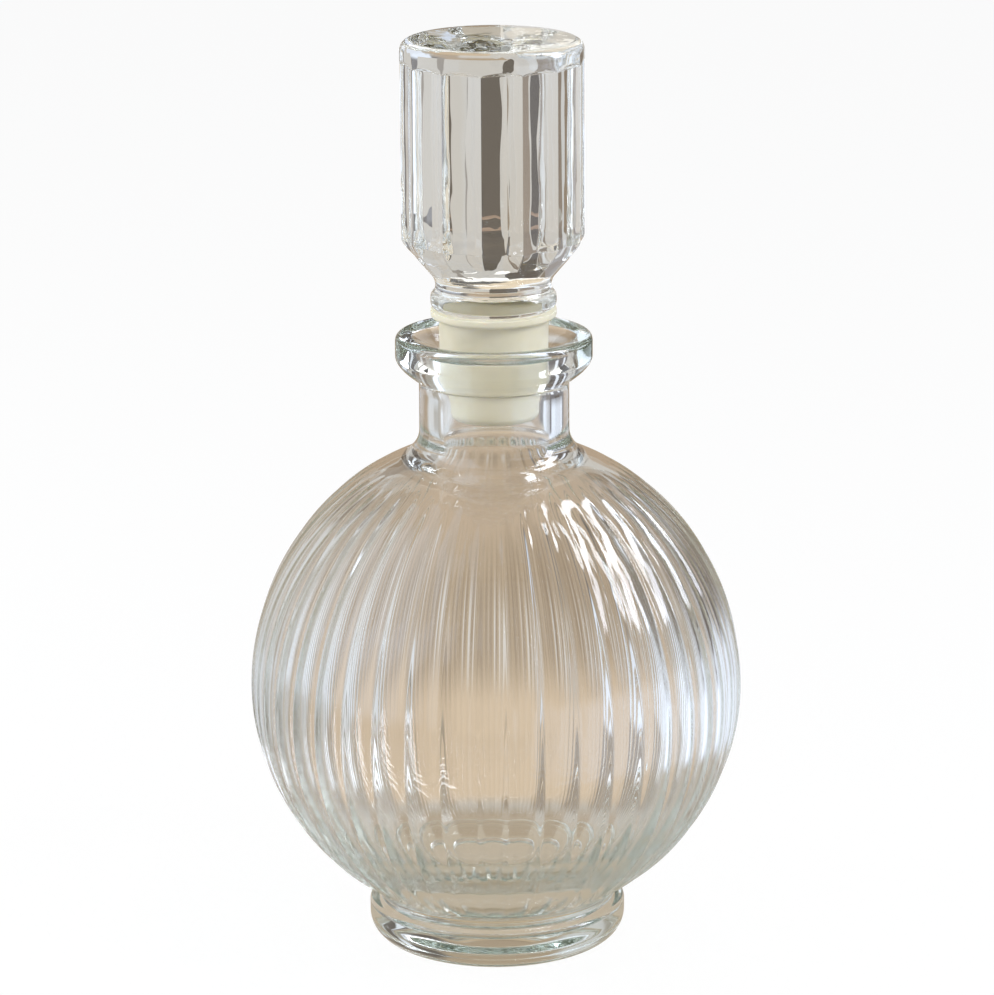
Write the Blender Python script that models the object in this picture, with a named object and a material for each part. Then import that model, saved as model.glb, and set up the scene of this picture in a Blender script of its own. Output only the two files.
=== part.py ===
"""Liqueur carafe in pressed glass: a fluted globe on a round foot, with a short neck and a flared mouth,
closed by a fluted glass stopper whose shank sits in a plastic sleeve.

Units are metres, +Z is up, and the origin is the middle of the foot's underside."""

import math

import bmesh
import bpy
from mathutils import Matrix

MM = 0.001

# Foot: a thick round disc that stands on a flat ring
STAND_RADIUS = 23.8 * MM
STAND_WIDTH = 4.3 * MM
FOOT_RADIUS = 29.45 * MM
FOOT_HEIGHT = 9.9 * MM
HEEL_HEIGHT = 6.5 * MM
HEEL_BEND = 0.25 * HEEL_HEIGHT
FOOT_EDGE = 1.3 * MM
PUNT_DEPTH = 2.4 * MM
PUNT_FLAT_SHARE = 0.45
PUNT_BEND_SHARE = 0.85

# Cove between the foot and the globe
COVE_RADIUS = 26.9 * MM
COVE_HEIGHT = 2.8 * MM
COVE_FLARE = 0.5 * MM

# Globe: its widest radius, and its half heights below and above the widest ring
GLOBE_RADIUS = 56.25 * MM
GLOBE_LOWER = 55.15 * MM
GLOBE_UPPER = 58.1 * MM
GLOBE_WALL = 4.2 * MM
CROWN_WALL = 4.6 * MM
FLOOR_THICKNESS = 15.0 * MM
FLOOR_FLATNESS = 2.3

# Flutes of the globe: shallow faces between thin upright ridges, and how far the first ridge is turned
GLOBE_FLUTES = 44
GLOBE_FLUTE_DEPTH = 0.45 * MM
GLOBE_FLUTE_POWER = 4
GLOBE_TURN = 3.2
FLUTE_FADE_LOW = 5.0 * MM
FLUTE_FADE_HIGH = 5.0 * MM
FLUTE_TOP_MARGIN = 1.0 * MM

# Neck and flared mouth
NECK_RADIUS = 17.0 * MM
NECK_LENGTH = 15.95 * MM
NECK_FILLET = 6.0 * MM
LIP_RADIUS = 22.3 * MM
LIP_CORNER = 0.4 * MM
LIP_SLOPE_HEIGHT = 3.6 * MM
LIP_EDGE_HEIGHT = 5.4 * MM
LIP_CROWN = 1.7 * MM
FUNNEL_DEPTH = 4.0 * MM
FUNNEL_MARGIN = 1.2 * MM

# Plastic sleeve: a wedge in the mouth with a narrower closed tip, and a flange under the stopper's collar
FLANGE_RADIUS = 14.2 * MM
FLANGE_HEIGHT = 1.8 * MM
FLANGE_ROUND = 0.8 * MM
SLEEVE_TOP_RADIUS = 12.5 * MM
SLEEVE_SEAT_RADIUS = 12.05 * MM
SLEEVE_WEDGE_LENGTH = 16.7 * MM
SLEEVE_TIP_RADIUS = 10.1 * MM
SLEEVE_TIP_LENGTH = 8.2 * MM
SLEEVE_STEP_HEIGHT = 1.2 * MM
SLEEVE_CORNER = 2.0 * MM
SLEEVE_WALL = 1.2 * MM
FIT_GAP = 0.3 * MM

# Stopper: how high its collar stands over the mouth, then its heights from the collar upwards
SEAT_STAND_OFF = 6.0 * MM
COLLAR_RADIUS = FLANGE_RADIUS
COLLAR_HEIGHT = 4.1 * MM
COLLAR_ROUND = 1.5 * MM
WAIST_RADIUS = 12.9 * MM
WAIST_FLARE = 0.9 * MM
WAIST_HEIGHT = 3.5 * MM
SHOULDER_HEIGHT = 7.7 * MM
HEAD_RADIUS = 20.65 * MM
HEAD_HEIGHT = 45.8 * MM
HEAD_CROWN = 2.8 * MM
HEAD_BAND = 2.2 * MM

# Flutes of the stopper's head, which end in arches below a smooth band
HEAD_FLUTES = 14
HEAD_FLUTE_DEPTH = 0.9 * MM
HEAD_FLUTE_POWER = 2
HEAD_TURN = 5.9
HEAD_ARCH = 1.8 * MM

# Lengthwise facets of each flute, and around the plain parts
GLOBE_STEPS = 4
HEAD_STEPS = 6
LOWER_BANDS = 6
UPPER_BANDS = 7
INNER_BANDS = 10
SLEEVE_SEGMENTS = 48
ARC_STEPS = 3

# Heights that follow from the sizes above
JOIN_HEIGHT = FOOT_HEIGHT + COVE_HEIGHT
JOIN_RADIUS = COVE_RADIUS + COVE_FLARE
GLOBE_CENTRE = JOIN_HEIGHT + GLOBE_LOWER * math.sqrt(1 - (JOIN_RADIUS / GLOBE_RADIUS) ** 2)
NECK_FOOT = GLOBE_CENTRE + GLOBE_UPPER * math.sqrt(1 - (NECK_RADIUS / GLOBE_RADIUS) ** 2)
LIP_LOW = NECK_FOOT + NECK_LENGTH
LIP_TOP = LIP_LOW + LIP_SLOPE_HEIGHT + LIP_EDGE_HEIGHT + LIP_CROWN
MOUTH_LOW = LIP_TOP - FUNNEL_DEPTH
SEAT = LIP_TOP + SEAT_STAND_OFF
SLEEVE_TOP = SEAT - FIT_GAP
WEDGE_LOW = SLEEVE_TOP - SLEEVE_WEDGE_LENGTH
SLEEVE_LOW = WEDGE_LOW - SLEEVE_TIP_LENGTH
WAIST_LOW = SEAT + COLLAR_HEIGHT
SHOULDER_LOW = WAIST_LOW + WAIST_HEIGHT
HEAD_LOW = SHOULDER_LOW + SHOULDER_HEIGHT
HEAD_TOP = HEAD_LOW + HEAD_HEIGHT


def sleeve_radius(height):
    """Outer radius of the sleeve's wedge at a height."""
    share = (height - WEDGE_LOW) / SLEEVE_WEDGE_LENGTH
    return SLEEVE_SEAT_RADIUS + (SLEEVE_TOP_RADIUS - SLEEVE_SEAT_RADIUS) * share


def arc(centre, radius, start, end, steps=ARC_STEPS):
    """Profile points (radius, height) along a circular arc, angles in degrees from straight outwards."""
    points = []
    for step in range(steps + 1):
        angle = math.radians(start + (end - start) * step / steps)
        points.append((centre[0] + radius * math.cos(angle), centre[1] + radius * math.sin(angle)))
    return points


def curve(start, bend, end, steps=ARC_STEPS):
    """Profile points along a smooth curve that leaves start towards bend and comes into end from bend."""
    points = []
    for step in range(steps + 1):
        t = step / steps
        points.append(
            tuple((1 - t) ** 2 * a + 2 * t * (1 - t) * b + t ** 2 * c for a, b, c in zip(start, bend, end))
        )
    return points


def smooth(value):
    """0 below 0 and 1 above 1, with a soft rise between."""
    value = min(max(value, 0.0), 1.0)
    return value * value * (3 - 2 * value)


def ring(point, segments, depth=0.0, flutes=0, arch=0.0, power=2):
    """One level of a turned or fluted form, as points around the axis.

    Between two ridges the surface is hollowed by depth, and lifted by arch in the hollow's middle.
    A higher power makes the hollows flatter and the ridges narrower."""
    radius, height = point
    points = []
    for index in range(segments):
        hollow = 0.0
        if flutes:
            place = (index * flutes / segments) % 1.0
            hollow = 1 - abs(2 * place - 1) ** power
        angle = 2 * math.pi * index / segments
        r = radius - depth * hollow
        points.append((r * math.cos(angle), r * math.sin(angle), height - arch * (1 - hollow)))
    return points


def bridge(mesh, lower, upper):
    """Faces between two closed rings, one of which may have a whole number of times more points."""
    if len(lower) == len(upper):
        for index in range(len(lower)):
            after = (index + 1) % len(lower)
            mesh.faces.new((lower[index], lower[after], upper[after], upper[index]))
        return
    fine, coarse, flip = (lower, upper, False) if len(lower) > len(upper) else (upper, lower, True)
    share = len(fine) // len(coarse)
    for index in range(len(coarse)):
        after = (index + 1) % len(coarse)
        for step in range(share):
            start = fine[index * share + step]
            end = fine[(index * share + step + 1) % len(fine)]
            corner = coarse[index] if step < share / 2 else coarse[after]
            mesh.faces.new((end, start, corner) if flip else (start, end, corner))
        middle = fine[index * share + (share + 1) // 2]
        triangle = (middle, coarse[index], coarse[after])
        mesh.faces.new(triangle if flip else triangle[::-1])


def turned_solid(name, rings, material, turn=0.0, sharp_degrees=24):
    """A closed solid whose surface runs from an axis point over rings to another axis point."""
    mesh = bmesh.new()
    first = mesh.verts.new((0.0, 0.0, rings[0][0][2]))
    last = mesh.verts.new((0.0, 0.0, rings[-1][0][2]))
    loops = [[mesh.verts.new(point) for point in level] for level in rings]
    for index, vert in enumerate(loops[0]):
        mesh.faces.new((first, loops[0][(index + 1) % len(loops[0])], vert))
    for lower, upper in zip(loops, loops[1:]):
        bridge(mesh, lower, upper)
    for index, vert in enumerate(loops[-1]):
        mesh.faces.new((last, vert, loops[-1][(index + 1) % len(loops[-1])]))
    bmesh.ops.rotate(mesh, verts=mesh.verts, matrix=Matrix.Rotation(math.radians(turn), 3, "Z"))
    bmesh.ops.recalc_face_normals(mesh, faces=mesh.faces)
    data = bpy.data.meshes.new(name)
    mesh.to_mesh(data)
    mesh.free()
    data.shade_smooth()
    data.set_sharp_from_angle(angle=math.radians(sharp_degrees))
    data.materials.append(material)
    solid = bpy.data.objects.new(name, data)
    bpy.context.collection.objects.link(solid)
    return solid


def principled(name, colour, roughness, transmission=0.0, ior=1.5):
    """A Principled material."""
    material = bpy.data.materials.new(name)
    material.use_nodes = True
    shader = material.node_tree.nodes["Principled BSDF"]
    shader.inputs["Base Color"].default_value = (*colour, 1.0)
    shader.inputs["Roughness"].default_value = roughness
    shader.inputs["Metallic"].default_value = 0.0
    shader.inputs["Transmission Weight"].default_value = transmission
    shader.inputs["IOR"].default_value = ior
    return material


def oval_radius(height, widest, centre, half_height, power=2.0):
    """Radius of an oval of revolution at a height."""
    share = min(abs(height - centre) / half_height, 1.0)
    return widest * max(1 - share ** power, 0.0) ** (1 / power)


def foot_profile():
    """From the underside's middle, over the standing ring and round the foot, to the globe's start."""
    inner_edge = STAND_RADIUS - STAND_WIDTH
    punt_flat = (inner_edge * PUNT_FLAT_SHARE, PUNT_DEPTH)
    punt_bend = (inner_edge * PUNT_BEND_SHARE, PUNT_DEPTH)
    points = curve(punt_flat, punt_bend, (inner_edge, 0.0), 2)
    points += curve((STAND_RADIUS, 0.0), (FOOT_RADIUS, HEEL_BEND), (FOOT_RADIUS, HEEL_HEIGHT), 3)
    points += arc((FOOT_RADIUS - FOOT_EDGE, FOOT_HEIGHT - FOOT_EDGE), FOOT_EDGE, 0, 80, 2)
    points += [(COVE_RADIUS + FOOT_EDGE * 0.4, FOOT_HEIGHT + COVE_HEIGHT * 0.15)]
    points += [(COVE_RADIUS, FOOT_HEIGHT + COVE_HEIGHT * 0.55)]
    return points


def fluted_globe_rings():
    """The globe's outside, stepped in latitude below and above its widest ring.

    The flutes fade towards the foot and the neck."""
    low = math.asin((JOIN_HEIGHT - GLOBE_CENTRE) / GLOBE_LOWER)
    neck_share = (NECK_RADIUS + NECK_FILLET) / GLOBE_RADIUS
    high = math.acos(neck_share)
    top = GLOBE_CENTRE + GLOBE_UPPER * math.sin(high)
    latitudes = [low * (1 - band / LOWER_BANDS) for band in range(LOWER_BANDS)]
    latitudes += [high * band / UPPER_BANDS for band in range(UPPER_BANDS + 1)]
    rings = []
    for latitude in latitudes:
        half_height = GLOBE_LOWER if latitude < 0 else GLOBE_UPPER
        height = GLOBE_CENTRE + half_height * math.sin(latitude)
        radius = GLOBE_RADIUS * math.cos(latitude)
        fade = smooth((height - JOIN_HEIGHT) / FLUTE_FADE_LOW)
        fade *= smooth((top - FLUTE_TOP_MARGIN - height) / FLUTE_FADE_HIGH)
        depth = GLOBE_FLUTE_DEPTH * fade * math.sqrt(radius / GLOBE_RADIUS)
        segments = GLOBE_FLUTES * GLOBE_STEPS
        rings.append(ring((radius, height), segments, depth, GLOBE_FLUTES, power=GLOBE_FLUTE_POWER))
    return rings


def mouth_profile():
    """The outside from the globe's top to the lip's rim, and the inside from the rim down the bore."""
    globe_end = NECK_RADIUS + NECK_FILLET
    start = (globe_end, GLOBE_CENTRE + GLOBE_UPPER * math.sqrt(1 - (globe_end / GLOBE_RADIUS) ** 2))
    points = curve(start, (NECK_RADIUS, NECK_FOOT), (NECK_RADIUS, NECK_FOOT + NECK_FILLET * 0.8))[1:]
    edge_low = LIP_LOW + LIP_SLOPE_HEIGHT
    edge_top = edge_low + LIP_EDGE_HEIGHT
    slope = (LIP_RADIUS - NECK_RADIUS, LIP_SLOPE_HEIGHT)
    points += [(NECK_RADIUS, LIP_LOW - LIP_CORNER)]
    points += curve(
        (NECK_RADIUS + slope[0] * 0.12, LIP_LOW + slope[1] * 0.12),
        (LIP_RADIUS, edge_low),
        (LIP_RADIUS, edge_low + LIP_EDGE_HEIGHT * 0.4),
    )
    points += curve((LIP_RADIUS, edge_top), (LIP_RADIUS, LIP_TOP), (LIP_RADIUS - LIP_CROWN, LIP_TOP), 2)
    rim_inner = LIP_RADIUS - LIP_CROWN - FUNNEL_MARGIN
    bore_top = sleeve_radius(MOUTH_LOW) + FIT_GAP
    bore_low = sleeve_radius(WEDGE_LOW) + FIT_GAP
    funnel_bend = (bore_top + FUNNEL_DEPTH * 0.3, LIP_TOP - FUNNEL_DEPTH * 0.7)
    funnel = curve((rim_inner, LIP_TOP), funnel_bend, (bore_top, MOUTH_LOW))
    return points, funnel + [(bore_low, WEDGE_LOW)]


def hollow_profile(bore):
    """From the bore's end down the inside of the neck and the globe to the hollow's floor."""
    widest = GLOBE_RADIUS - GLOBE_WALL
    upper = GLOBE_UPPER - CROWN_WALL
    floor = PUNT_DEPTH + FLOOR_THICKNESS
    lower = GLOBE_CENTRE - floor
    opening = bore + NECK_FILLET
    high = math.acos(opening / widest)
    end = (opening, GLOBE_CENTRE + upper * math.sin(high))
    corner = (bore, GLOBE_CENTRE + upper * math.sqrt(1 - (bore / widest) ** 2))
    points = curve((bore, corner[1] + NECK_FILLET * 0.8), corner, end, 3)
    for band in range(1, INNER_BANDS):
        latitude = high - (high + math.pi / 2) * band / INNER_BANDS
        if latitude > 0:
            height = GLOBE_CENTRE + upper * math.sin(latitude)
            points.append((widest * math.cos(latitude), height))
        else:
            height = GLOBE_CENTRE + lower * math.sin(latitude)
            points.append((oval_radius(height, widest, GLOBE_CENTRE, lower, FLOOR_FLATNESS), height))
    last = points[-1]
    points.append((last[0] * 0.5, floor + (last[1] - floor) * 0.1))
    return points


def carafe_body(material):
    """Foot, fluted globe, neck and mouth in one piece of glass, hollow and open at the mouth."""
    plain = GLOBE_FLUTES * 2
    outside, inside = mouth_profile()
    inside += hollow_profile(inside[-1][0])
    rings = [ring(point, plain) for point in foot_profile()]
    rings += fluted_globe_rings()
    rings += [ring(point, plain) for point in outside]
    rings += [ring(point, GLOBE_FLUTES) for point in inside]
    return turned_solid("carafe_body", rings, material, GLOBE_TURN)


def head_rings():
    """The stopper's fluted head, from its shoulder to the smooth band."""
    segments = HEAD_FLUTES * HEAD_STEPS
    band_low = HEAD_TOP - HEAD_CROWN - HEAD_BAND
    arch_low = band_low - HEAD_ARCH * 1.6
    levels = [
        ((HEAD_RADIUS - SHOULDER_HEIGHT * 0.35, HEAD_LOW - SHOULDER_HEIGHT * 0.36), 0.45, 0.0),
        ((HEAD_RADIUS - SHOULDER_HEIGHT * 0.08, HEAD_LOW - SHOULDER_HEIGHT * 0.06), 0.9, 0.0),
        ((HEAD_RADIUS, HEAD_LOW + SHOULDER_HEIGHT * 0.12), 1.0, 0.0),
        ((HEAD_RADIUS, (HEAD_LOW + arch_low) / 2), 1.0, 0.0),
        ((HEAD_RADIUS, arch_low), 1.0, 0.0),
        ((HEAD_RADIUS, band_low - HEAD_ARCH * 0.35), 0.8, HEAD_ARCH * 0.85),
        ((HEAD_RADIUS, band_low), 0.0, HEAD_ARCH * 0.9),
    ]
    return [
        ring(point, segments, HEAD_FLUTE_DEPTH * share, HEAD_FLUTES, arch, HEAD_FLUTE_POWER)
        for point, share, arch in levels
    ]


def stopper(material):
    """Glass stopper: a shank for the sleeve, a collar ring, a waist and a fluted head with a flat top."""
    plain = HEAD_FLUTES * HEAD_STEPS // 2
    lining = SLEEVE_WALL + FIT_GAP
    tip_low = SLEEVE_LOW + lining
    tip_radius = SLEEVE_TIP_RADIUS - lining
    corner = min(SLEEVE_CORNER, tip_radius * 0.5)
    shoulder_low = WEDGE_LOW + lining * 0.5
    points = arc((tip_radius - corner, tip_low + corner), corner, -90, 0)
    points += [(tip_radius, shoulder_low)]
    points += [(sleeve_radius(WEDGE_LOW + SLEEVE_STEP_HEIGHT) - lining, shoulder_low + SLEEVE_STEP_HEIGHT)]
    points += [(sleeve_radius(SEAT) - lining, SEAT)]
    points += arc((COLLAR_RADIUS - COLLAR_ROUND, SEAT + COLLAR_ROUND), COLLAR_ROUND, -80, 0)
    points += arc((COLLAR_RADIUS - COLLAR_ROUND, WAIST_LOW - COLLAR_ROUND), COLLAR_ROUND, 0, 70)
    points += curve(
        (WAIST_RADIUS + WAIST_FLARE * 0.3, WAIST_LOW + WAIST_HEIGHT * 0.15),
        (WAIST_RADIUS, WAIST_LOW + WAIST_HEIGHT * 0.6),
        (WAIST_RADIUS + WAIST_FLARE, SHOULDER_LOW),
        3,
    )
    rings = [ring(point, plain) for point in points]
    rings += head_rings()
    top = [(HEAD_RADIUS, HEAD_TOP - HEAD_CROWN)]
    top += curve(
        (HEAD_RADIUS - 0.2 * MM, HEAD_TOP - HEAD_CROWN * 0.55),
        (HEAD_RADIUS - HEAD_CROWN * 0.35, HEAD_TOP),
        (HEAD_RADIUS - HEAD_CROWN * 1.2, HEAD_TOP),
        2,
    )
    rings += [ring(point, plain) for point in top]
    return turned_solid("stopper", rings, material, HEAD_TURN)


def stopper_sleeve(material):
    """Plastic sleeve: a tapered cup with a narrower closed tip, open at its top, where it has a flange."""
    tip_corner = (SLEEVE_TIP_RADIUS - SLEEVE_CORNER, SLEEVE_LOW + SLEEVE_CORNER)
    inner_tip = SLEEVE_TIP_RADIUS - SLEEVE_WALL
    inner_corner = min(SLEEVE_CORNER, inner_tip * 0.5)
    inner_low = SLEEVE_LOW + SLEEVE_WALL
    step_low = WEDGE_LOW + SLEEVE_WALL * 0.5
    points = arc(tip_corner, SLEEVE_CORNER, -90, 0)
    points += [(SLEEVE_TIP_RADIUS, WEDGE_LOW)]
    points += [(sleeve_radius(WEDGE_LOW + SLEEVE_STEP_HEIGHT), WEDGE_LOW + SLEEVE_STEP_HEIGHT)]
    flange_low = SLEEVE_TOP - FLANGE_HEIGHT
    points += [(sleeve_radius(flange_low), flange_low)]
    points += arc((FLANGE_RADIUS - FLANGE_ROUND, flange_low + FLANGE_ROUND), FLANGE_ROUND, -90, 0)
    points += [(FLANGE_RADIUS, SLEEVE_TOP)]
    points += [(sleeve_radius(SLEEVE_TOP) - SLEEVE_WALL, SLEEVE_TOP)]
    points += [(sleeve_radius(WEDGE_LOW + SLEEVE_STEP_HEIGHT) - SLEEVE_WALL, step_low + SLEEVE_STEP_HEIGHT)]
    points += [(inner_tip, step_low)]
    points += arc((inner_tip - inner_corner, inner_low + inner_corner), inner_corner, 0, -90)
    return turned_solid("stopper_sleeve", [ring(point, SLEEVE_SEGMENTS) for point in points], material)


def main():
    for leftover in list(bpy.data.objects):
        bpy.data.objects.remove(leftover, do_unlink=True)
    glass = principled("clear_glass", (0.93, 0.96, 0.94), 0.02, transmission=1.0, ior=1.52)
    stopper_glass = principled("stopper_glass", (0.94, 0.95, 0.94), 0.02, transmission=1.0, ior=1.52)
    plastic = principled("milky_plastic", (0.82, 0.79, 0.62), 0.42)
    carafe_body(glass)
    stopper(stopper_glass)
    stopper_sleeve(plastic)


main()
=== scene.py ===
"""The look of the liqueur carafe: fine meshes for the fluted glass and the sleeve, their materials, and a
plain pale studio. Units are metres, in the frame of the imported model."""

import math

import bpy
import numpy as np
from mathutils import Matrix, Vector, noise


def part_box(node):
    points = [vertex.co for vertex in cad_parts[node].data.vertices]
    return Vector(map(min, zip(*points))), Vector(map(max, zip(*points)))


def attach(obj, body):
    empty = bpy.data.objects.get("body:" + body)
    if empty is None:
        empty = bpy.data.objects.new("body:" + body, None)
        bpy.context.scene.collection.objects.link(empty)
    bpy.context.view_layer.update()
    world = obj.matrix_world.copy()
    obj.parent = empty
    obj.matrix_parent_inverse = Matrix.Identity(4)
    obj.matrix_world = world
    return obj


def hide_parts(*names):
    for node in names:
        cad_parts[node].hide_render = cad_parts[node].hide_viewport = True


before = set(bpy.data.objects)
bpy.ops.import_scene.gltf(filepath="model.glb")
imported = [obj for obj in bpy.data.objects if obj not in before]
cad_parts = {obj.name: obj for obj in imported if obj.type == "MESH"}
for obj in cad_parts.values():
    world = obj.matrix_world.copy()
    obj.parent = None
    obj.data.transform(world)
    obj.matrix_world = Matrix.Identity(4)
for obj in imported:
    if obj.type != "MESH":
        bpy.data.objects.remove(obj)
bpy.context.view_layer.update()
MM = 0.001

# Sizes read from the frame
LIP_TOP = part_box("carafe_body")[1].z
HEAD_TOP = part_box("stopper")[1].z
SLEEVE_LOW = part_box("stopper_sleeve")[0].z
SLEEVE_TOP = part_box("stopper_sleeve")[1].z

# Foot and the cove above it
STAND_RADIUS = 23.8 * MM
STAND_WIDTH = 4.3 * MM
FOOT_RADIUS = 29.45 * MM
FOOT_HEIGHT = 9.9 * MM
HEEL_HEIGHT = 6.5 * MM
FOOT_EDGE = 1.3 * MM
PUNT_DEPTH = 2.4 * MM
COVE_RADIUS = 26.9 * MM
COVE_HEIGHT = 2.8 * MM
COVE_FLARE = 0.5 * MM

# Globe
GLOBE_RADIUS = 56.25 * MM
GLOBE_LOWER = 55.15 * MM
GLOBE_UPPER = 58.1 * MM
GLOBE_WALL = 4.2 * MM
CROWN_WALL = 4.6 * MM
FLOOR_THICKNESS = 15.0 * MM
FLOOR_FLATNESS = 2.3
GLOBE_FLUTES = 44
GLOBE_TURN = math.radians(3.2)
GLOBE_FLUTE_DEPTH = 0.9 * MM
GLOBE_RIB_WIDTH = 0.30
GLOBE_FACE_SHARE = 0.3
RIB_LOWEST = 0.3
FLUTE_FADE_LOW = 5.0 * MM
FLUTE_FADE_HIGH = 7.0 * MM
FLUTE_TOP_MARGIN = 1.0 * MM

# The hollow's skin: how far, how finely and with which seed it is uneven, as blown glass is
SKIN_DEPTH = 0.5 * MM
SKIN_SCALE = 40
SKIN_STRETCH = 0.35
SKIN_SEED = 3.0

# Neck and mouth
NECK_RADIUS = 17.0 * MM
NECK_FILLET = 6.0 * MM
LIP_RADIUS = 22.3 * MM
LIP_CORNER = 0.4 * MM
LIP_SLOPE_HEIGHT = 3.6 * MM
LIP_EDGE_HEIGHT = 5.4 * MM
LIP_CROWN = 1.7 * MM
FUNNEL_DEPTH = 4.0 * MM
FUNNEL_MARGIN = 1.2 * MM

# Sleeve
FLANGE_RADIUS = 14.2 * MM
FLANGE_HEIGHT = 1.8 * MM
FLANGE_ROUND = 0.8 * MM
SLEEVE_TOP_RADIUS = 12.5 * MM
SLEEVE_SEAT_RADIUS = 12.05 * MM
SLEEVE_WEDGE_LENGTH = 16.7 * MM
SLEEVE_TIP_RADIUS = 10.1 * MM
SLEEVE_STEP_HEIGHT = 1.2 * MM
SLEEVE_CORNER = 2.0 * MM
SLEEVE_WALL = 1.2 * MM
FIT_GAP = 0.3 * MM

# Stopper
COLLAR_RADIUS = FLANGE_RADIUS
COLLAR_HEIGHT = 4.1 * MM
COLLAR_ROUND = 1.5 * MM
WAIST_RADIUS = 12.9 * MM
WAIST_FLARE = 0.9 * MM
WAIST_HEIGHT = 3.5 * MM
SHOULDER_HEIGHT = 7.7 * MM
HEAD_RADIUS = 20.65 * MM
HEAD_CROWN = 2.8 * MM
HEAD_BAND = 1.4 * MM
HEAD_FLUTES = 14
HEAD_TURN = math.radians(5.9)
HEAD_FLUTE_DEPTH = 0.9 * MM
HEAD_ARCH = 0.8 * MM

# Heights and places that follow
JOIN_HEIGHT = FOOT_HEIGHT + COVE_HEIGHT
JOIN_RADIUS = COVE_RADIUS + COVE_FLARE
GLOBE_CENTRE = JOIN_HEIGHT + GLOBE_LOWER * math.sqrt(1 - (JOIN_RADIUS / GLOBE_RADIUS) ** 2)
NECK_FOOT = GLOBE_CENTRE + GLOBE_UPPER * math.sqrt(1 - (NECK_RADIUS / GLOBE_RADIUS) ** 2)
LIP_LOW = LIP_TOP - LIP_SLOPE_HEIGHT - LIP_EDGE_HEIGHT - LIP_CROWN
MOUTH_LOW = LIP_TOP - FUNNEL_DEPTH
SEAT = SLEEVE_TOP + FIT_GAP
WEDGE_LOW = SLEEVE_TOP - SLEEVE_WEDGE_LENGTH
WAIST_LOW = SEAT + COLLAR_HEIGHT
SHOULDER_LOW = WAIST_LOW + WAIST_HEIGHT
HEAD_LOW = SHOULDER_LOW + SHOULDER_HEIGHT
SLOPE_END = (HEAD_RADIUS - SHOULDER_HEIGHT * 0.35, HEAD_LOW - SHOULDER_HEIGHT * 0.36)

# Facets around each turned surface, as many to every flute
GLOBE_SEGMENTS = GLOBE_FLUTES * 16
INNER_SEGMENTS = GLOBE_FLUTES * 8
HEAD_SEGMENTS = HEAD_FLUTES * 24
SLEEVE_SEGMENTS = 128
ROOM_SEGMENTS = 96

# How far the globe's facets crowd towards its ribs
RIB_CROWDING = 0.6

# Height of each rib, as a share of the full height: pressed glass is a little uneven
RIB_SEED = 7
RIB_HEIGHTS = np.random.default_rng(RIB_SEED).uniform(RIB_LOWEST, 1.0, GLOBE_FLUTES)

# Creases sharper than these angles in degrees stay sharp
GLASS_CREASE = 40
PLASTIC_CREASE = 30

# Glass: its bending of light, its colour in the depth and in the shadow, and the ripple of its skin. The
# carafe has no ripple, because its unevenness is in its mesh.
GLASS_IOR = 1.52
GLASS_DENSITY = 26.0
BODY_TINT = (0.845, 0.872, 0.852)
STOPPER_TINT = (0.91, 0.915, 0.905)
SHADOW_TINT = (0.96, 0.97, 0.96)
BODY_RIPPLE = 0.0
BODY_RIPPLE_SCALE = 60.0
STOPPER_RIPPLE = 1.0
STOPPER_RIPPLE_SCALE = 150.0
RIPPLE_STRETCH = 0.3
RIPPLE_HEIGHT = 0.2 * MM

# Plastic: two creams in a faint cloud, and how light goes under its skin
PLASTIC_IOR = 1.5
PLASTIC_ROUGHNESS = 0.38
PLASTIC_DARK = (0.68, 0.65, 0.515)
PLASTIC_LIGHT = (0.74, 0.71, 0.585)
CLOUD_SCALE = 120.0
UNDER_SKIN_SHARE = 0.5
UNDER_SKIN_RADIUS = (1.0, 0.9, 0.6)
UNDER_SKIN_SCALE = 2.0 * MM

# Camera: the photograph's frame in pixels, and its view of the carafe
FRAME_WIDTH = 994
FRAME_HEIGHT = 995
FOCAL_PIXELS = 5000
CAMERA_PITCH = math.radians(15)
CAMERA_ROLL = math.radians(0.35)
CAMERA_DISTANCE = 1.1369
CAMERA_TARGET = Vector((0.0005, 0.0, 0.1045))
SENSOR = 36.0

# Studio: a floor under the carafe, the even light of the world, and the most times that light may bounce
FLOOR_SIZE = 6.0
FLOOR_DROP = 0.05 * MM
FLOOR_COLOUR = (0.9, 0.9, 0.9)
FLOOR_WHITE_SHARE = 0.9
WORLD_COLOUR = (0.9, 0.92, 0.95)
WORLD_STRENGTH = 0.6
WHITE = (1.0, 1.0, 1.0)
BOUNCES = 48

# Lamps: name, place, the point that it aims at, its size and its power
LAMPS = [
    ("left_window", (-0.9, 0.0, 0.55), (0, 0, 0.08), (0.5, 0.7), 7),
    ("right_window", (0.6, -0.3, 0.6), (0, 0, 0.1), (0.3, 0.3), 4),
]

# Room that only the glass shows: a glowing dome on a table, which lights nothing. Its glow is painted light
# and shade, which the glass shows as painted reflections and through its depth. Rings run from the table's
# middle to its edge and from the dome's lowest to its highest angle in degrees
ROOM_RADIUS = 1.6
ROOM_RINGS = 12
TABLE_HEIGHT = 0.2 * MM
TABLE_MIDDLE = 0.01
DOME_LOWEST = 4
DOME_HIGHEST = 88
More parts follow.
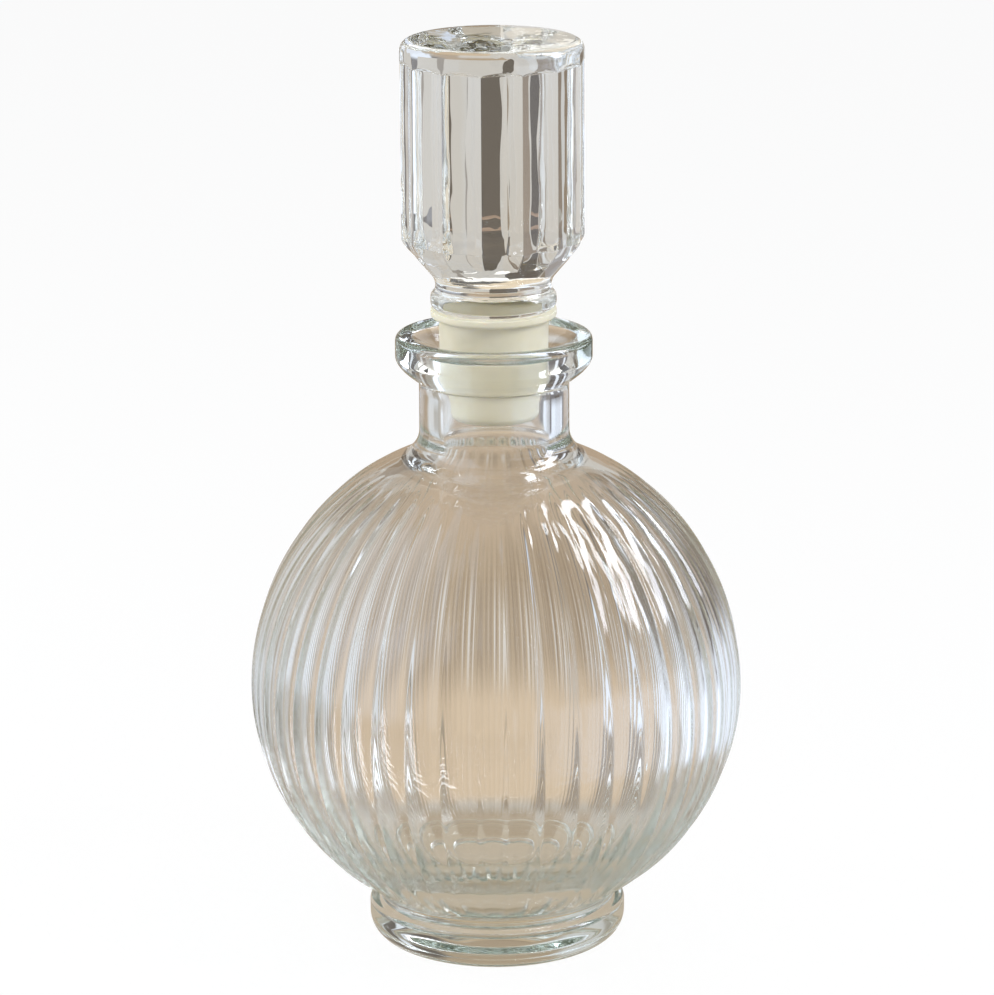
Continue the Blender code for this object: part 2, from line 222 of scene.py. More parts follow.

# Soft patches of painted light and shade on the room, one over another: the bright ones paint the glass's
# highlights and light, the dark ones paint its shade. Each has the direction of its middle and its half
# sizes, both as (around, up), and the width of its soft edge, all in degrees, and then its colour. Around is
# 0 straight behind the carafe, 90 at the right and 180 at the camera's side.
PAINTED_LIGHT_PATCHES = [
    ((0, 0), (181, 91), 0, (0.52, 0.48, 0.42)),         # the whole room
    ((180, 10), (60, 50), 40, (0.95, 0.86, 0.72)),      # lit wall at the camera's side
    ((0, 85), (181, 30), 20, (1.05, 0.88, 0.66)),       # warm ceiling
    ((-101, 32), (39, 39), 6, (1.35, 1.50, 1.70)),      # painted light of a window at the left
    ((104, 38), (46, 36), 8, (0.16, 0.15, 0.145)),      # dark wall at the right
    ((105, -12), (46, 12), 6, (1.20, 1.32, 1.54)),      # painted light low at the right, standing for a pale cloth
    ((62, 56), (7, 9), 4, (12.0, 12.8, 14.0)),          # three panes of the bright window at the right, painted light for the highlights
    ((76, 43), (8, 10), 4, (14.0, 14.8, 16.0)),
    ((88, 28), (7, 10), 4, (10.0, 10.6, 12.0)),
    ((-40, -34), (26, 14), 8, (0.32, 0.26, 0.19)),      # dark table at both sides, each with a painted pool of light
    ((40, -34), (26, 14), 8, (0.28, 0.22, 0.16)),
    ((-44, -30), (6, 8), 4, (1.40, 1.47, 1.58)),
    ((46, -28), (6, 8), 4, (1.10, 1.13, 1.18)),
    ((-31, 16), (11, 26), 6, (0.70, 0.70, 0.69)),       # grey and brown wall behind, at the left
    ((-50, 8), (8, 30), 6, (0.42, 0.39, 0.34)),
    ((0, 0), (20, 34), 10, (0.48, 0.37, 0.265)),        # wooden wall straight behind
    ((46, 12), (28, 22), 6, (0.14, 0.12, 0.11)),        # dark wall behind, right, with two bright slits
    ((34, 23), (3, 15), 2, (0.95, 1.00, 1.10)),
    ((56, 21), (4, 15), 2, (0.95, 1.00, 1.10)),
    ((0, -15), (16, 7), 6, (0.43, 0.33, 0.225)),        # far table: brown, with a darker and a greyer spot
    ((-4, -14), (4, 5), 5, (0.32, 0.24, 0.165)),
    ((9, -15), (3, 4), 4, (0.66, 0.63, 0.59)),
    ((42, -14), (18, 9), 3, (0.86, 0.93, 1.05)),        # far table: pale at both sides
    ((-40, -15), (14, 7), 5, (0.70, 0.73, 0.76)),
    ((0, -30), (20, 13), 8, (0.63, 0.49, 0.34)),        # lit wood in the middle of the table
    ((0, -80), (181, 22), 14, (0.55, 0.47, 0.36)),      # table around the foot
    ((0, -60), (26, 12), 8, (0.42, 0.33, 0.23)),        # darker wood just behind the foot
]

# Upright glowing cards behind the stopper, which only the glass shows and which light nothing: painted light
# and shade for the stopper to show through its depth and as reflections. The sky and glow cards paint light,
# the flag and the left, far and right cards paint shade. Each has its name, its low left and its high right
# corner as (across, height above the stopper's top), how far behind the axis it stands, its colour at the top
# and at the foot, and how far its left edge waves.
PAINTED_LIGHT_CARDS = [
    ("stopper_ground", (-0.080, -0.070), (0.080, 0.050), 0.140, (0.60, 0.59, 0.57), (0.62, 0.59, 0.54), 0.0),
    ("stopper_sky", (-0.080, 0.026), (0.080, 0.110), 0.139, (1.5, 1.48, 1.42), (1.5, 1.48, 1.42), 0.0),
    ("stopper_painted_shade_flag", (-0.030, -0.075), (0.005, 0.040), 0.120, (0.09, 0.08, 0.07), (0.11, 0.09, 0.072), 0.0),
    ("stopper_tan", (-0.030, -0.0630), (0.005, -0.0622), 0.119, (0.30, 0.21, 0.15), (0.42, 0.30, 0.22), 0.0),
    ("stopper_glow", (0.0014, -0.060), (0.0098, 0.005), 0.025, (0.68, 0.67, 0.65), (0.6, 0.55, 0.48), 0.0007),
    ("stopper_left", (-0.066, -0.070), (-0.033, 0.040), 0.120, (0.17, 0.135, 0.11), (0.32, 0.25, 0.18), 0.0),
    ("stopper_far", (-0.125, -0.070), (-0.088, 0.040), 0.120, (0.20, 0.165, 0.13), (0.30, 0.24, 0.19), 0.0),
    ("stopper_right", (0.030, -0.070), (0.036, 0.040), 0.120, (0.28, 0.26, 0.24), (0.34, 0.30, 0.26), 0.0),
]

# Steps of a card's height, and how much each step turns the two waves that shape its left edge
CARD_STEPS = 24
FAST_WAVE = 0.6
SLOW_WAVE = 0.25

# Sockets of a mix node that blends two colours
MIX_FIRST = 6
MIX_SECOND = 7
MIX_RESULT = 2


def arc(centre, radius, start, end, steps):
    """Profile points (radius, height) along a circular arc, angles in degrees from straight outwards."""
    points = []
    for step in range(steps + 1):
        angle = math.radians(start + (end - start) * step / steps)
        points.append((centre[0] + radius * math.cos(angle), centre[1] + radius * math.sin(angle)))
    return points


def curve(start, bend, end, steps):
    """Profile points along a smooth curve that leaves start towards bend and comes into end from bend."""
    points = []
    for step in range(steps + 1):
        t = step / steps
        points.append(
            tuple((1 - t) ** 2 * a + 2 * t * (1 - t) * b + t ** 2 * c for a, b, c in zip(start, bend, end))
        )
    return points


def line(start, end, steps):
    """Profile points on a straight line."""
    return [
        tuple(a + (b - a) * step / steps for a, b in zip(start, end))
        for step in range(steps + 1)
    ]


def smooth(value):
    """0 below 0 and 1 above 1, with a soft rise between."""
    value = min(max(value, 0.0), 1.0)
    return value * value * (3 - 2 * value)


def sleeve_radius(height):
    """Outer radius of the sleeve's wedge at a height."""
    share = (height - WEDGE_LOW) / SLEEVE_WEDGE_LENGTH
    return SLEEVE_SEAT_RADIUS + (SLEEVE_TOP_RADIUS - SLEEVE_SEAT_RADIUS) * share


def ring(point, segments, flutes=0, depth=0.0, arch=0.0, turn=0.0):
    """One level of a turned or fluted form, as an array of points around the axis."""
    radius, height = point
    angle = 2 * math.pi * np.arange(segments) / segments + turn
    hollow = np.zeros(segments)
    if flutes:
        place = (np.arange(segments) * flutes / segments) % 1.0
        hollow = 1 - np.abs(2 * place - 1) ** 2
    r = radius - depth * hollow
    return np.stack([r * np.cos(angle), r * np.sin(angle), height - arch * (1 - hollow)], axis=1)


def globe_ring(point, depth=0.0):
    """One level of the globe's outside: rounded ribs between slightly hollow faces, finer at the ribs."""
    radius, height = point
    step = np.arange(GLOBE_SEGMENTS) * GLOBE_FLUTES / GLOBE_SEGMENTS
    place = step - RIB_CROWDING * np.sin(2 * math.pi * step) / (2 * math.pi)
    away = 1 - np.abs(2 * (place % 1.0) - 1)
    rib = np.exp(-(away / GLOBE_RIB_WIDTH) ** 2) * RIB_HEIGHTS[np.rint(place).astype(int) % GLOBE_FLUTES]
    face = np.cos(away * math.pi / 2) ** 2
    r = radius - depth * (1 - rib * (1 - GLOBE_FACE_SHARE) - face * GLOBE_FACE_SHARE)
    angle = 2 * math.pi * place / GLOBE_FLUTES + GLOBE_TURN
    return np.stack([r * np.cos(angle), r * np.sin(angle), np.full(GLOBE_SEGMENTS, height)], axis=1)


def bridge(lower, upper):
    """Faces between two closed rings of vertex numbers, one of which may have twice as many."""
    count = len(lower)
    if count == len(upper):
        return [
            (lower[i], lower[(i + 1) % count], upper[(i + 1) % count], upper[i]) for i in range(count)
        ]
    faces = []
    for i in range(len(upper)):
        after = (i + 1) % len(upper)
        left, middle, right = lower[2 * i], lower[2 * i + 1], lower[(2 * i + 2) % count]
        faces.append((left, middle, upper[i]))
        faces.append((middle, right, upper[after]))
        faces.append((middle, upper[after], upper[i]))
    return faces


def turned_mesh(name, rings, sharp_degrees):
    """A closed surface that runs from an axis point over rings to another axis point."""
    starts = np.cumsum([1] + [len(level) for level in rings])
    first, last = 0, int(starts[-1])
    points = [np.array([[0.0, 0.0, rings[0][0][2]]]), *rings, np.array([[0.0, 0.0, rings[-1][0][2]]])]
    loops = [list(range(int(start), int(start) + len(level))) for start, level in zip(starts, rings)]
    faces = [(first, loops[0][(i + 1) % len(loops[0])], vert) for i, vert in enumerate(loops[0])]
    for lower, upper in zip(loops, loops[1:]):
        faces += bridge(lower, upper)
    faces += [(last, vert, loops[-1][(i + 1) % len(loops[-1])]) for i, vert in enumerate(loops[-1])]
    mesh = bpy.data.meshes.new(name)
    mesh.from_pydata(np.concatenate(points).tolist(), [], faces)
    mesh.update()
    mesh.shade_smooth()
    mesh.set_sharp_from_angle(angle=math.radians(sharp_degrees))
    piece = bpy.data.objects.new(name, mesh)
    bpy.context.scene.collection.objects.link(piece)
    return piece


def foot_profile():
    """From the underside's middle, over the standing ring and round the foot, to the globe's start."""
    inner_edge = STAND_RADIUS - STAND_WIDTH
    points = line((inner_edge * 0.1, PUNT_DEPTH), (inner_edge * 0.45, PUNT_DEPTH), 3)
    points += curve((inner_edge * 0.5, PUNT_DEPTH), (inner_edge * 0.85, PUNT_DEPTH), (inner_edge, 0.0), 8)
    points += curve((STAND_RADIUS, 0.0), (FOOT_RADIUS, HEEL_HEIGHT * 0.25), (FOOT_RADIUS, HEEL_HEIGHT), 12)
    points += arc((FOOT_RADIUS - FOOT_EDGE, FOOT_HEIGHT - FOOT_EDGE), FOOT_EDGE, 0, 80, 7)
    cove_low = (COVE_RADIUS + FOOT_EDGE * 0.4, FOOT_HEIGHT + COVE_HEIGHT * 0.12)
    points += curve(cove_low, (COVE_RADIUS, FOOT_HEIGHT + COVE_HEIGHT * 0.2),
                    (COVE_RADIUS, FOOT_HEIGHT + COVE_HEIGHT * 0.6), 4)
    return points


def fluted_globe_rings():
    """The globe's outside, with flutes that fade towards foot and neck."""
    low_bands, high_bands = 34, 38
    low = math.asin((JOIN_HEIGHT - GLOBE_CENTRE) / GLOBE_LOWER)
    high = math.acos((NECK_RADIUS + NECK_FILLET) / GLOBE_RADIUS)
    top = GLOBE_CENTRE + GLOBE_UPPER * math.sin(high)
    latitudes = [low * (1 - band / low_bands) for band in range(low_bands)]
    latitudes += [high * band / high_bands for band in range(high_bands + 1)]
    rings = []
    for latitude in latitudes:
        half_height = GLOBE_LOWER if latitude < 0 else GLOBE_UPPER
        height = GLOBE_CENTRE + half_height * math.sin(latitude)
        radius = GLOBE_RADIUS * math.cos(latitude)
        fade = smooth((height - JOIN_HEIGHT) / FLUTE_FADE_LOW)
        fade *= smooth((top - FLUTE_TOP_MARGIN - height) / FLUTE_FADE_HIGH)
        depth = GLOBE_FLUTE_DEPTH * fade * math.sqrt(radius / GLOBE_RADIUS)
        rings.append(globe_ring((radius, height), depth))
    return rings


def mouth_profile():
    """The outside from the globe's top to the lip's rim, and the inside from the rim down the bore."""
    globe_end = NECK_RADIUS + NECK_FILLET
    start = (globe_end, GLOBE_CENTRE + GLOBE_UPPER * math.sqrt(1 - (globe_end / GLOBE_RADIUS) ** 2))
    neck_low = (NECK_RADIUS, NECK_FOOT + NECK_FILLET * 0.8)
    outside = curve(start, (NECK_RADIUS, NECK_FOOT), neck_low, 12)[1:]
    edge_low = LIP_LOW + LIP_SLOPE_HEIGHT
    edge_top = edge_low + LIP_EDGE_HEIGHT
    slope = LIP_RADIUS - NECK_RADIUS
    outside += line(neck_low, (NECK_RADIUS, LIP_LOW - LIP_CORNER), 6)[1:]
    under_lip = (NECK_RADIUS + slope * 0.12, LIP_LOW + LIP_SLOPE_HEIGHT * 0.12)
    outside += curve(under_lip, (LIP_RADIUS, edge_low), (LIP_RADIUS, edge_low + LIP_EDGE_HEIGHT * 0.4), 12)
    outside += curve((LIP_RADIUS, edge_top), (LIP_RADIUS, LIP_TOP), (LIP_RADIUS - LIP_CROWN, LIP_TOP), 8)
    rim_inner = LIP_RADIUS - LIP_CROWN - FUNNEL_MARGIN
    bore_top = sleeve_radius(MOUTH_LOW) + FIT_GAP
    bore_low = sleeve_radius(WEDGE_LOW) + FIT_GAP
    inside = curve(
        (rim_inner, LIP_TOP),
        (bore_top + FUNNEL_DEPTH * 0.3, LIP_TOP - FUNNEL_DEPTH * 0.7),
        (bore_top, MOUTH_LOW),
        12,
    )
    inside += line((bore_top, MOUTH_LOW), (bore_low, WEDGE_LOW), 5)[1:]
    return outside, inside


def hollow_profile(bore):
    """From the bore's end down the inside of the neck and the globe to the hollow's floor."""
    bands = 60
    widest = GLOBE_RADIUS - GLOBE_WALL
    upper = GLOBE_UPPER - CROWN_WALL
    floor = PUNT_DEPTH + FLOOR_THICKNESS
    lower = GLOBE_CENTRE - floor
    opening = bore + NECK_FILLET
    high = math.acos(opening / widest)
    end = (opening, GLOBE_CENTRE + upper * math.sin(high))
    corner = (bore, GLOBE_CENTRE + upper * math.sqrt(1 - (bore / widest) ** 2))
    points = line((bore, WEDGE_LOW), (bore, corner[1] + NECK_FILLET * 0.8), 5)[1:]
    points += curve((bore, corner[1] + NECK_FILLET * 0.8), corner, end, 10)[1:]
    for band in range(1, bands):
        latitude = high - (high + math.pi / 2) * band / bands
        if latitude > 0:
            points.append((widest * math.cos(latitude), GLOBE_CENTRE + upper * math.sin(latitude)))
        else:
            share = -math.sin(latitude)
            radius = widest * (1 - share ** FLOOR_FLATNESS) ** (1 / FLOOR_FLATNESS)
            points.append((radius, GLOBE_CENTRE - lower * share))
    last = points[-1]
    points.append((last[0] * 0.5, floor + (last[1] - floor) * 0.1))
    return points


def uneven(level):
    """The ring moved in and out by a smooth noise, as blown glass is uneven inside."""
    moved = []
    for x, y, z in level:
        place = Vector((x, y, z * SKIN_STRETCH)) * SKIN_SCALE + Vector((SKIN_SEED, 0.0, 0.0))
        shift = 1 + SKIN_DEPTH * noise.noise(place) / max(math.hypot(x, y), MM)
        moved.append((x * shift, y * shift, z))
    return np.array(moved)


def carafe_body(material):
    """Foot, fluted globe, neck and mouth in one piece of glass, hollow and open at the mouth."""
    outside, inside = mouth_profile()
    hollow = hollow_profile(inside[-1][0])
    rings = [globe_ring(point) for point in foot_profile()]
    rings += fluted_globe_rings()
    rings += [globe_ring(point) for point in outside]
    rings += [ring(point, INNER_SEGMENTS, turn=GLOBE_TURN) for point in inside]
    rings += [uneven(ring(point, INNER_SEGMENTS, turn=GLOBE_TURN)) for point in hollow]
    piece = turned_mesh("carafe_body_glass", rings, GLASS_CREASE)
    piece.data.materials.append(material)
    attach(piece, "carafe")
    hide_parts("carafe_body")


def head_rings():
    """The stopper's fluted head, from its shoulder to the smooth band."""
    band_low = HEAD_TOP - HEAD_CROWN - HEAD_BAND
    arch_low = band_low - HEAD_ARCH * 1.6
    levels = []
    end = (HEAD_RADIUS, HEAD_LOW + SHOULDER_HEIGHT * 0.12)
    for share, point in enumerate(curve(SLOPE_END, (HEAD_RADIUS, HEAD_LOW), end, 10)):
        levels.append((point, 0.45 + 0.55 * smooth(share / 7), 0.0))
    for point in line(end, (HEAD_RADIUS, arch_low), 20)[1:]:
        levels.append((point, 1.0, 0.0))
    for step in range(1, 9):
        t = step / 8
        height = arch_low + (band_low - arch_low) * t
        levels.append(((HEAD_RADIUS, height), 1 - smooth(t) ** 2, HEAD_ARCH * 0.9 * smooth(t)))
    return [
        ring(point, HEAD_SEGMENTS, HEAD_FLUTES, HEAD_FLUTE_DEPTH * share, arch, HEAD_TURN)
        for point, share, arch in levels
    ]


def stopper(material):
    """Glass stopper: a shank for the sleeve, a collar ring, a waist and a fluted head with a flat top."""
    lining = SLEEVE_WALL + FIT_GAP
    tip_low = SLEEVE_LOW + lining
    tip_radius = SLEEVE_TIP_RADIUS - lining
    corner = min(SLEEVE_CORNER, tip_radius * 0.5)
    shoulder_low = WEDGE_LOW + lining * 0.5
    points = arc((tip_radius - corner, tip_low + corner), corner, -90, 0, 6)
    points += line((tip_radius, tip_low + corner), (tip_radius, shoulder_low), 3)[1:]
    wedge_start = (sleeve_radius(WEDGE_LOW + SLEEVE_STEP_HEIGHT) - lining, shoulder_low + SLEEVE_STEP_HEIGHT)
    points += line(wedge_start, (sleeve_radius(SEAT) - lining, SEAT), 6)
    points += arc((COLLAR_RADIUS - COLLAR_ROUND, SEAT + COLLAR_ROUND), COLLAR_ROUND, -80, 0, 8)
    points += arc((COLLAR_RADIUS - COLLAR_ROUND, WAIST_LOW - COLLAR_ROUND), COLLAR_ROUND, 0, 70, 8)
    points += curve(
        (WAIST_RADIUS + WAIST_FLARE * 0.3, WAIST_LOW + WAIST_HEIGHT * 0.15),
        (WAIST_RADIUS, WAIST_LOW + WAIST_HEIGHT * 0.6),
        (WAIST_RADIUS + WAIST_FLARE, SHOULDER_LOW),
        8,
    )
    points += line((WAIST_RADIUS + WAIST_FLARE, SHOULDER_LOW), SLOPE_END, 6)[1:-1]
    rings = [ring(point, HEAD_SEGMENTS, turn=HEAD_TURN) for point in points]
    rings += head_rings()
    band_low = (HEAD_RADIUS, HEAD_TOP - HEAD_CROWN - HEAD_BAND * 0.9)
    band_top = (HEAD_RADIUS, HEAD_TOP - HEAD_CROWN)
    flat_edge = (HEAD_RADIUS - HEAD_CROWN * 1.2, HEAD_TOP)
    top = line(band_low, band_top, 3)[1:]
    top += curve(band_top, (HEAD_RADIUS, HEAD_TOP), flat_edge, 8)[1:]
    top += line(flat_edge, (HEAD_RADIUS * 0.1, HEAD_TOP), 10)[1:]
    rings += [ring(point, HEAD_SEGMENTS, turn=HEAD_TURN) for point in top]
    piece = turned_mesh("stopper_glass_head", rings, GLASS_CREASE)
    piece.data.materials.append(material)
    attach(piece, "stopper")
    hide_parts("stopper")


def stopper_sleeve(material):
    """Plastic sleeve: a tapered cup with a narrower closed tip, open at its top, where it has a flange."""
    tip_corner = (SLEEVE_TIP_RADIUS - SLEEVE_CORNER, SLEEVE_LOW + SLEEVE_CORNER)
    inner_tip = SLEEVE_TIP_RADIUS - SLEEVE_WALL
    inner_corner = min(SLEEVE_CORNER, inner_tip * 0.5)
    inner_low = SLEEVE_LOW + SLEEVE_WALL
    step_low = WEDGE_LOW + SLEEVE_WALL * 0.5
    step_top = WEDGE_LOW + SLEEVE_STEP_HEIGHT
    points = arc(tip_corner, SLEEVE_CORNER, -90, 0, 8)
    points += line((SLEEVE_TIP_RADIUS, tip_corner[1]), (SLEEVE_TIP_RADIUS, WEDGE_LOW), 4)[1:]
    points += line((SLEEVE_TIP_RADIUS, WEDGE_LOW), (sleeve_radius(step_top), step_top), 3)[1:]
    flange_low = SLEEVE_TOP - FLANGE_HEIGHT
    points += line((sleeve_radius(step_top), step_top), (sleeve_radius(flange_low), flange_low), 8)[1:]
    points += arc((FLANGE_RADIUS - FLANGE_ROUND, flange_low + FLANGE_ROUND), FLANGE_ROUND, -90, 0, 6)
    points += line((FLANGE_RADIUS, SLEEVE_TOP), (SLEEVE_TOP_RADIUS - SLEEVE_WALL, SLEEVE_TOP), 3)
    wedge_end = (sleeve_radius(step_top) - SLEEVE_WALL, step_low + SLEEVE_STEP_HEIGHT)
    points += line((SLEEVE_TOP_RADIUS - SLEEVE_WALL, SLEEVE_TOP), wedge_end, 6)[1:]
    points += line(wedge_end, (inner_tip, step_low), 2)[1:]
    points += arc((inner_tip - inner_corner, inner_low + inner_corner), inner_corner, 0, -90, 6)
    rings = [ring(point, SLEEVE_SEGMENTS) for point in points]
    piece = turned_mesh("stopper_sleeve_plastic", rings, PLASTIC_CREASE)
    piece.data.materials.append(material)
    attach(piece, "stopper")
    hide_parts("stopper_sleeve")


def new_material(name):
    """A material and its node tree, which is still empty."""
    material = bpy.data.materials.new(name)
    material.use_nodes = True
    tree = material.node_tree
    tree.nodes.clear()
    return material, tree


def clear_glass(name, tint, ripple, scale):
    """Clear pressed glass with a faint tint in its depth and a skin that may be slightly rippled."""
    material, tree = new_material(name)
    output = tree.nodes.new("ShaderNodeOutputMaterial")
    shader = tree.nodes.new("ShaderNodeBsdfPrincipled")
    shader.inputs["Base Color"].default_value = (*WHITE, 1.0)
    shader.inputs["Transmission Weight"].default_value = 1.0
    shader.inputs["IOR"].default_value = GLASS_IOR
    shader.inputs["Roughness"].default_value = 0.0
    place = tree.nodes.new("ShaderNodeTexCoord")
    stretch = tree.nodes.new("ShaderNodeMapping")
    stretch.inputs["Scale"].default_value = (1.0, 1.0, RIPPLE_STRETCH)
    pattern = tree.nodes.new("ShaderNodeTexNoise")
    pattern.inputs["Scale"].default_value = scale
    pattern.inputs["Detail"].default_value = 2.0
    bump = tree.nodes.new("ShaderNodeBump")
    bump.inputs["Strength"].default_value = ripple
    bump.inputs["Distance"].default_value = RIPPLE_HEIGHT
    absorption = tree.nodes.new("ShaderNodeVolumeAbsorption")
    absorption.inputs["Color"].default_value = (*tint, 1.0)
    absorption.inputs["Density"].default_value = GLASS_DENSITY
    tree.links.new(place.outputs["Object"], stretch.inputs["Vector"])
    tree.links.new(stretch.outputs["Vector"], pattern.inputs["Vector"])
    tree.links.new(pattern.outputs["Fac"], bump.inputs["Height"])
    tree.links.new(bump.outputs["Normal"], shader.inputs["Normal"])
    light = tree.nodes.new("ShaderNodeLightPath")
    clear = tree.nodes.new("ShaderNodeBsdfTransparent")
    clear.inputs["Color"].default_value = (*SHADOW_TINT, 1.0)
    mix = tree.nodes.new("ShaderNodeMixShader")
    tree.links.new(light.outputs["Is Shadow Ray"], mix.inputs["Fac"])
    tree.links.new(shader.outputs["BSDF"], mix.inputs[1])
    tree.links.new(clear.outputs["BSDF"], mix.inputs[2])
    tree.links.new(mix.outputs["Shader"], output.inputs["Surface"])
    tree.links.new(absorption.outputs["Volume"], output.inputs["Volume"])
    return material


def milky_plastic():
    """Translucent cream polyethylene, satin, a little cloudy."""
    material, tree = new_material("milky_plastic")
    output = tree.nodes.new("ShaderNodeOutputMaterial")
    shader = tree.nodes.new("ShaderNodeBsdfPrincipled")
    place = tree.nodes.new("ShaderNodeTexCoord")
    cloud = tree.nodes.new("ShaderNodeTexNoise")
    cloud.inputs["Scale"].default_value = CLOUD_SCALE
    cloud.inputs["Detail"].default_value = 3.0
    colours = tree.nodes.new("ShaderNodeValToRGB")
    colours.color_ramp.elements[0].position = 0.35
    colours.color_ramp.elements[0].color = (*PLASTIC_DARK, 1.0)
    colours.color_ramp.elements[1].position = 0.65
    colours.color_ramp.elements[1].color = (*PLASTIC_LIGHT, 1.0)
    shader.inputs["Roughness"].default_value = PLASTIC_ROUGHNESS
    shader.inputs["IOR"].default_value = PLASTIC_IOR
    shader.inputs["Subsurface Weight"].default_value = UNDER_SKIN_SHARE
    shader.inputs["Subsurface Radius"].default_value = UNDER_SKIN_RADIUS
    shader.inputs["Subsurface Scale"].default_value = UNDER_SKIN_SCALE
    tree.links.new(place.outputs["Object"], cloud.inputs["Vector"])
    tree.links.new(cloud.outputs["Fac"], colours.inputs["Fac"])
    tree.links.new(colours.outputs["Color"], shader.inputs["Base Color"])
    tree.links.new(shader.outputs["BSDF"], output.inputs["Surface"])
    return material


def seen_ray(tree):
    """Socket that is 1 for the rays that show a background: camera, glossy and transmission rays."""
    path = tree.nodes.new("ShaderNodeLightPath")
    either = tree.nodes.new("ShaderNodeMath")
    either.operation = "MAXIMUM"
    every = tree.nodes.new("ShaderNodeMath")
    every.operation = "MAXIMUM"
    tree.links.new(path.outputs["Is Camera Ray"], either.inputs[0])
    tree.links.new(path.outputs["Is Glossy Ray"], either.inputs[1])
    tree.links.new(either.outputs["Value"], every.inputs[0])
    tree.links.new(path.outputs["Is Transmission Ray"], every.inputs[1])
    return every.outputs["Value"]


def pale_floor():
    """A plain white floor that keeps a soft part of the carafe's shadow."""
    bpy.ops.mesh.primitive_plane_add(size=FLOOR_SIZE, location=(0.0, 0.0, -FLOOR_DROP))
    floor = bpy.context.object
    floor.name = "floor"
    material, tree = new_material("floor_white")
    output = tree.nodes.new("ShaderNodeOutputMaterial")
    paper = tree.nodes.new("ShaderNodeBsdfDiffuse")
    paper.inputs["Color"].default_value = (*FLOOR_COLOUR, 1.0)
    bright = tree.nodes.new("ShaderNodeEmission")
    bright.inputs["Strength"].default_value = 1.0
    share = tree.nodes.new("ShaderNodeMath")
    share.operation = "MULTIPLY"
    share.inputs[1].default_value = FLOOR_WHITE_SHARE
    mix = tree.nodes.new("ShaderNodeMixShader")
    tree.links.new(seen_ray(tree), share.inputs[0])
    tree.links.new(share.outputs["Value"], mix.inputs["Fac"])
    tree.links.new(paper.outputs["BSDF"], mix.inputs[1])
    tree.links.new(bright.outputs["Emission"], mix.inputs[2])
    tree.links.new(mix.outputs["Shader"], output.inputs["Surface"])
    floor.data.materials.append(material)


def studio_world():
    """White where it is seen, and a soft even light elsewhere."""
    world = bpy.data.worlds.new("studio")
    bpy.context.scene.world = world
    world.use_nodes = True
    tree = world.node_tree
    tree.nodes.clear()
    output = tree.nodes.new("ShaderNodeOutputWorld")
    white = tree.nodes.new("ShaderNodeBackground")
    white.inputs["Color"].default_value = (*WHITE, 1.0)
    white.inputs["Strength"].default_value = 1.0
    soft = tree.nodes.new("ShaderNodeBackground")
    soft.inputs["Color"].default_value = (*WORLD_COLOUR, 1.0)
    soft.inputs["Strength"].default_value = WORLD_STRENGTH
    mix = tree.nodes.new("ShaderNodeMixShader")
    tree.links.new(seen_ray(tree), mix.inputs["Fac"])
    tree.links.new(soft.outputs["Background"], mix.inputs[1])
    tree.links.new(white.outputs["Background"], mix.inputs[2])
    tree.links.new(mix.outputs["Shader"], output.inputs["Surface"])


def shown_by_glass_only(piece):
    """Stages a piece that only glossy and transmission rays see: it lights nothing and casts no shadow."""
    piece.visible_camera = False
    piece.visible_diffuse = False
    piece.visible_shadow = False
    piece.visible_volume_scatter = False


